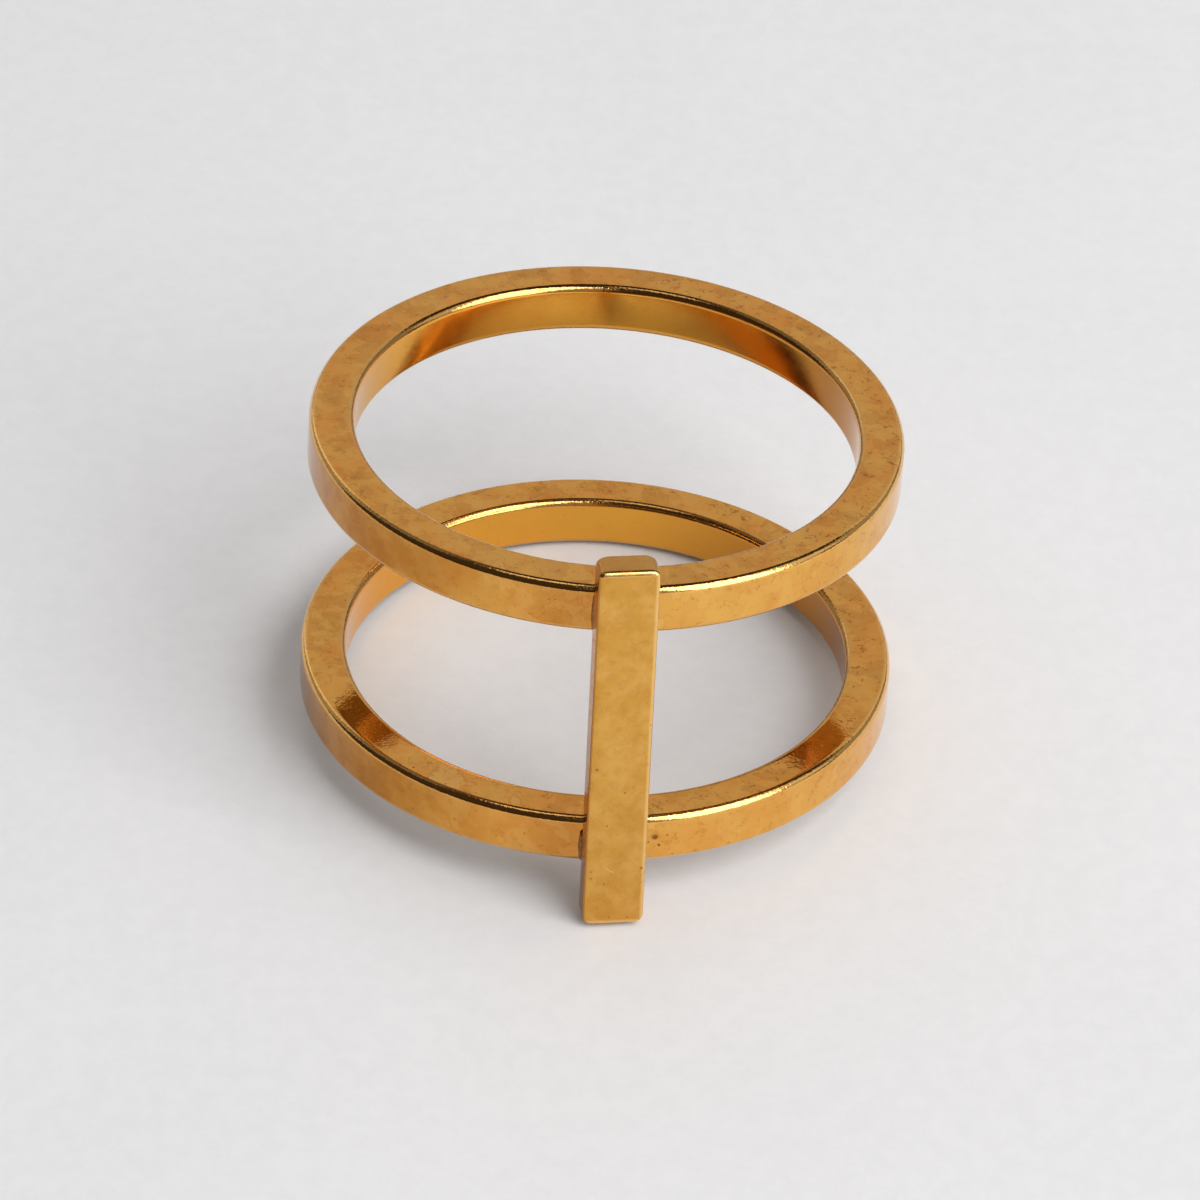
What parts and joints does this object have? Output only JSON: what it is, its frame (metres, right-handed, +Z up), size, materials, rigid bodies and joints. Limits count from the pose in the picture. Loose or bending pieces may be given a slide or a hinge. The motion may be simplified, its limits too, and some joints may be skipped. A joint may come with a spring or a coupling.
{
  "type": "bar ring",
  "caption": "Open finger ring of flat-sided round bands held apart by an upright flat bar soldered across their front, standing on the bar's foot and a band's back edge.",
  "frame": {"origin": "on the surface that the ring stands on, under the middle of its box", "axes": "+Z up from that surface, -Y the side of the bar, X across the ring; the ring stands on the foot of its bar and on the back edge of its lower band, so the lower band's own axis leans back 4.91 degrees from +Z towards +Y and the bar leans back 8.91 degrees"},
  "size_m": [0.0204, 0.0233, 0.014],
  "materials": {
    "metal": "polished yellow metal, lightly tarnished, with fine scratches and pits"
  },
  "bodies": {
    "root": {"bar_ring": "metal"}
  },
  "joints": []
}
